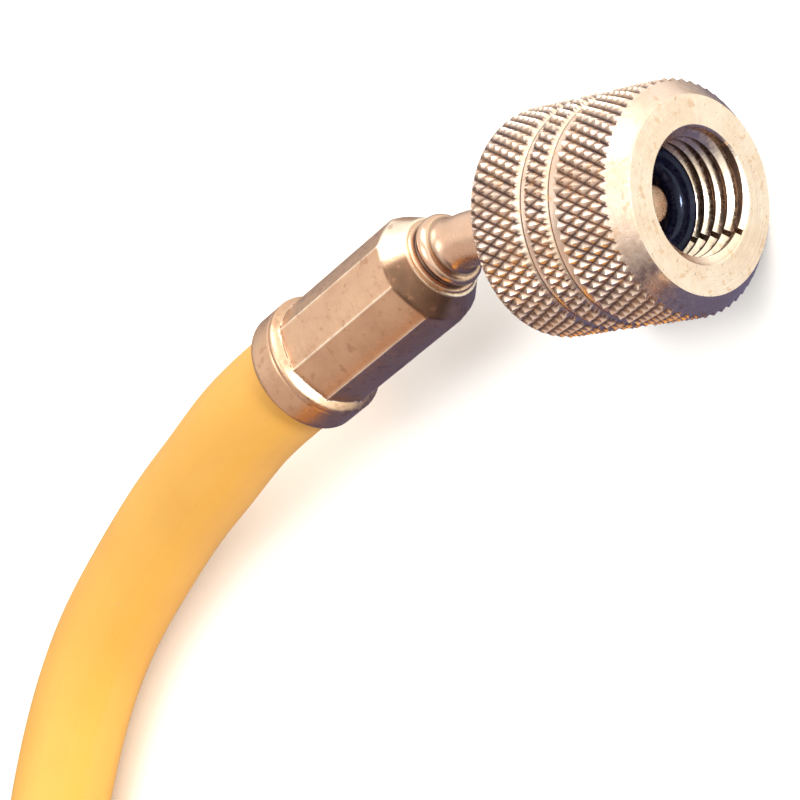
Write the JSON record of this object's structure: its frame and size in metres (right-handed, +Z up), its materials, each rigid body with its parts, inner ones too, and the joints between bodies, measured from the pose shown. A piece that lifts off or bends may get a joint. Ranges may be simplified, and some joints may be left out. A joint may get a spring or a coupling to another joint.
{
  "type": "refrigerant charging hose",
  "caption": "Yellow rubber refrigerant charging hose with knurled brass swivel flare nuts, one end on a bent stem and one straight, spare length coiled and tied.",
  "frame": {"origin": "on the surface that the hose lies on, under the middle of the bent end fitting", "axes": "+X along the bent end's nut, out of its threaded mouth; +Z up from the surface"},
  "size_m": [0.1587, 0.201, 0.022],
  "materials": {
    "nut_brass": "knurled and turned, satin with polished edges",
    "stem_brass": "turned, bright",
    "ferrule_brass": "crimped, dull with small stains",
    "hose_rubber": "smooth, semi-matte",
    "seal_rubber": "smooth, slightly glossy",
    "tie_plastic": "moulded, satin"
  },
  "bodies": {
    "root": {"seal_ring": "seal_rubber", "core_depressor": "stem_brass", "hose_stem": "stem_brass", "crimp_ferrule": "ferrule_brass", "hose_lead": "hose_rubber", "hose_coil": "hose_rubber", "hose_tail": "hose_rubber", "coil_tie": "tie_plastic", "far_seal_ring": "seal_rubber", "far_core_depressor": "stem_brass", "far_hose_stem": "stem_brass", "far_crimp_ferrule": "ferrule_brass"},
    "bent_end_nut": {"coupling_nut": "nut_brass"},
    "straight_end_nut": {"far_coupling_nut": "nut_brass"}
  },
  "joints": [
    {"name": "bent_end_swivel", "type": "hinge", "parent": "root", "child": "bent_end_nut", "pos_m": [0.012, 0.00249, 0.00985], "axis": [1, 0, 0], "continuous": true},
    {"name": "straight_end_swivel", "type": "hinge", "parent": "root", "child": "straight_end_nut", "pos_m": [0.06258, -0.07, 0.00985], "axis": [0, 1, 0], "continuous": true}
  ]
}
